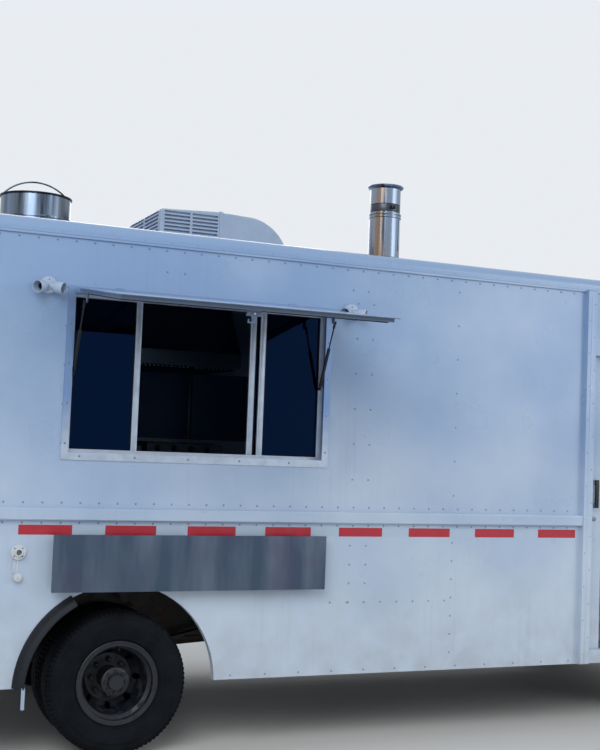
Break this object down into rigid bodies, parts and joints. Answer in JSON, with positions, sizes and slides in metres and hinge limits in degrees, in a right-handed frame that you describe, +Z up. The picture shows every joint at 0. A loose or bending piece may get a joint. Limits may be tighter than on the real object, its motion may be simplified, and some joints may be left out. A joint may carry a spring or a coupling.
{
  "type": "food truck",
  "caption": "Step-van food truck with a hinged serving flap on struts, folding shelf, sliding cab doors, twin rear doors and steered, rolling wheels.",
  "frame": {"origin": "on the ground, below the middle of the truck's outer box as stored, with its serving flap open", "axes": "+X towards the front of the truck, +Y to its left, +Z up"},
  "size_m": [6.485, 3.4902, 3.4],
  "materials": {
    "white_paint": "gloss enamel on riveted aluminium",
    "chassis_black": "dull black paint",
    "engine_iron": "grimy cast iron",
    "steel_dark": "dull rusty steel",
    "bumper_paint": "satin black paint",
    "stainless": "brushed stainless steel",
    "mill_aluminium": "mill finish extrusion",
    "glass": "clear glass",
    "lens_clear": "headlamp glass",
    "lens_amber": "moulded lens",
    "rim_black": "black paint, worn and dusty",
    "tyre": "dusty rubber",
    "flare_rubber": "extruded rubber",
    "shroud_plastic": "moulded plastic cover",
    "lamp_white": "white enamel",
    "inlet_plastic": "moulded plastic",
    "black_plastic": "grained plastic",
    "seat_vinyl": "black vinyl",
    "black_paint": "gloss black paint",
    "chromed_rod": "polished rod"
  },
  "bodies": {
    "root": {"frame": "chassis_black", "engine": "engine_iron", "fuel_tank": "chassis_black", "exhaust_pipe": "steel_dark", "front_axle": "chassis_black", "leaf_springs": "steel_dark", "rear_axle": "chassis_black", "floor": "mill_aluminium", "wheel_boxes": "mill_aluminium", "entrance_steps": "mill_aluminium", "engine_cover": "mill_aluminium", "side_wall_right": "white_paint", "side_wall_left": "white_paint", "roof": "white_paint", "rear_wall": "white_paint", "cab_front": "white_paint", "fixed_glass": "glass", "grille": "black_paint", "headlamps": "lens_clear", "signal_lamps": "lens_amber", "bumpers": "bumper_paint", "body_trim": "white_paint", "service_window_frame": "mill_aluminium", "air_conditioner": "shroud_plastic", "exhaust_fan": "stainless", "vent_stack": "stainless", "floodlights": "lamp_white", "water_inlet": "inlet_plastic", "fender_flares": "flare_rubber", "mirrors": "black_paint", "driver_seat": "seat_vinyl", "steering_wheel": "black_plastic", "dashboard": "black_plastic", "kitchen_units": "stainless", "shelf_brackets": "stainless"},
    "knuckle_left": {"knuckle_left": "chassis_black"},
    "knuckle_right": {"knuckle_right": "chassis_black"},
    "front_wheel_left": {"front_rim_left": "rim_black", "front_tyre_left": "tyre"},
    "front_wheel_right": {"front_rim_right": "rim_black", "front_tyre_right": "tyre"},
    "rear_wheels_left": {"rear_rims_left": "rim_black", "rear_tyres_left": "tyre"},
    "rear_wheels_right": {"rear_rims_right": "rim_black", "rear_tyres_right": "tyre"},
    "cab_door_left": {"cab_door_left": "white_paint", "cab_door_glass_left": "glass"},
    "cab_door_right": {"cab_door_right": "white_paint", "cab_door_glass_right": "glass"},
    "rear_door_left": {"rear_door_left": "white_paint", "rear_door_glass_left": "glass"},
    "rear_door_right": {"rear_door_right": "white_paint", "rear_door_glass_right": "glass"},
    "serving_hatch": {"serving_hatch": "white_paint"},
    "strut_tubes": {"strut_tubes": "black_paint"},
    "strut_rods": {"strut_rods": "chromed_rod"},
    "shelf": {"shelf": "stainless"}
  },
  "joints": [
    {"name": "steer_left", "type": "hinge", "parent": "root", "child": "knuckle_left", "pos_m": [2.4675, 1.11514, 0.382], "axis": [0, 0, 1], "range_deg": [-32, 32]},
    {"name": "steer_right", "type": "hinge", "parent": "root", "child": "knuckle_right", "pos_m": [2.4675, -0.48486, 0.382], "axis": [0, 0, 1], "range_deg": [-32, 32]},
    {"name": "front_wheel_left_spin", "type": "hinge", "parent": "knuckle_left", "child": "front_wheel_left", "pos_m": [2.4675, 1.27514, 0.382], "axis": [0, 1, 0], "continuous": true},
    {"name": "rear_wheels_left_spin", "type": "hinge", "parent": "root", "child": "rear_wheels_left", "pos_m": [-1.7225, 1.23514, 0.382], "axis": [0, 1, 0], "continuous": true},
    {"name": "front_wheel_right_spin", "type": "hinge", "parent": "knuckle_right", "child": "front_wheel_right", "pos_m": [2.4675, -0.64486, 0.382], "axis": [0, 1, 0], "continuous": true},
    {"name": "rear_wheels_right_spin", "type": "hinge", "parent": "root", "child": "rear_wheels_right", "pos_m": [-1.7225, -0.60486, 0.382], "axis": [0, 1, 0], "continuous": true},
    {"name": "cab_door_right_slide", "type": "slide", "parent": "root", "child": "cab_door_right", "axis": [1, 0, 0], "range_m": [0, 0.572]},
    {"name": "cab_door_left_slide", "type": "slide", "parent": "root", "child": "cab_door_left", "axis": [-1, 0, 0], "range_m": [0, 0.572]},
    {"name": "rear_door_left_swing", "type": "hinge", "parent": "root", "child": "rear_door_left", "pos_m": [-3.1375, 0.94914, 1.685], "axis": [0, 0, -1], "range_deg": [0, 175]},
    {"name": "rear_door_right_swing", "type": "hinge", "parent": "root", "child": "rear_door_right", "pos_m": [-3.1375, -0.31886, 1.685], "axis": [0, 0, 1], "range_deg": [0, 175]},
    {"name": "serving_hatch_swing", "type": "hinge", "parent": "root", "child": "serving_hatch", "pos_m": [-1.3315, -0.88986, 2.458], "axis": [1, 0, 0], "range_deg": [0, 82]},
    {"name": "strut_tilt", "type": "hinge", "parent": "root", "child": "strut_tubes", "pos_m": [-1.3315, -0.83686, 2.015], "axis": [1, 0, 0], "range_deg": [-22, 0]},
    {"name": "strut_stroke", "type": "slide", "parent": "strut_tubes", "child": "strut_rods", "axis": [0, -0.4325, 0.9016], "range_m": [-0.125, 0]},
    {"name": "shelf_fold", "type": "hinge", "parent": "root", "child": "shelf", "pos_m": [-1.3555, -0.90886, 1.169], "axis": [-1, 0, 0], "range_deg": [0, 90]}
  ],
  "couplings": [
    {"joint": "steer_right", "follows": "steer_left", "ratio": 1},
    {"joint": "strut_tilt", "follows": "serving_hatch_swing", "ratio": -0.2622},
    {"joint": "strut_stroke", "follows": "serving_hatch_swing", "m_per_rad": -0.084725}
  ]
}
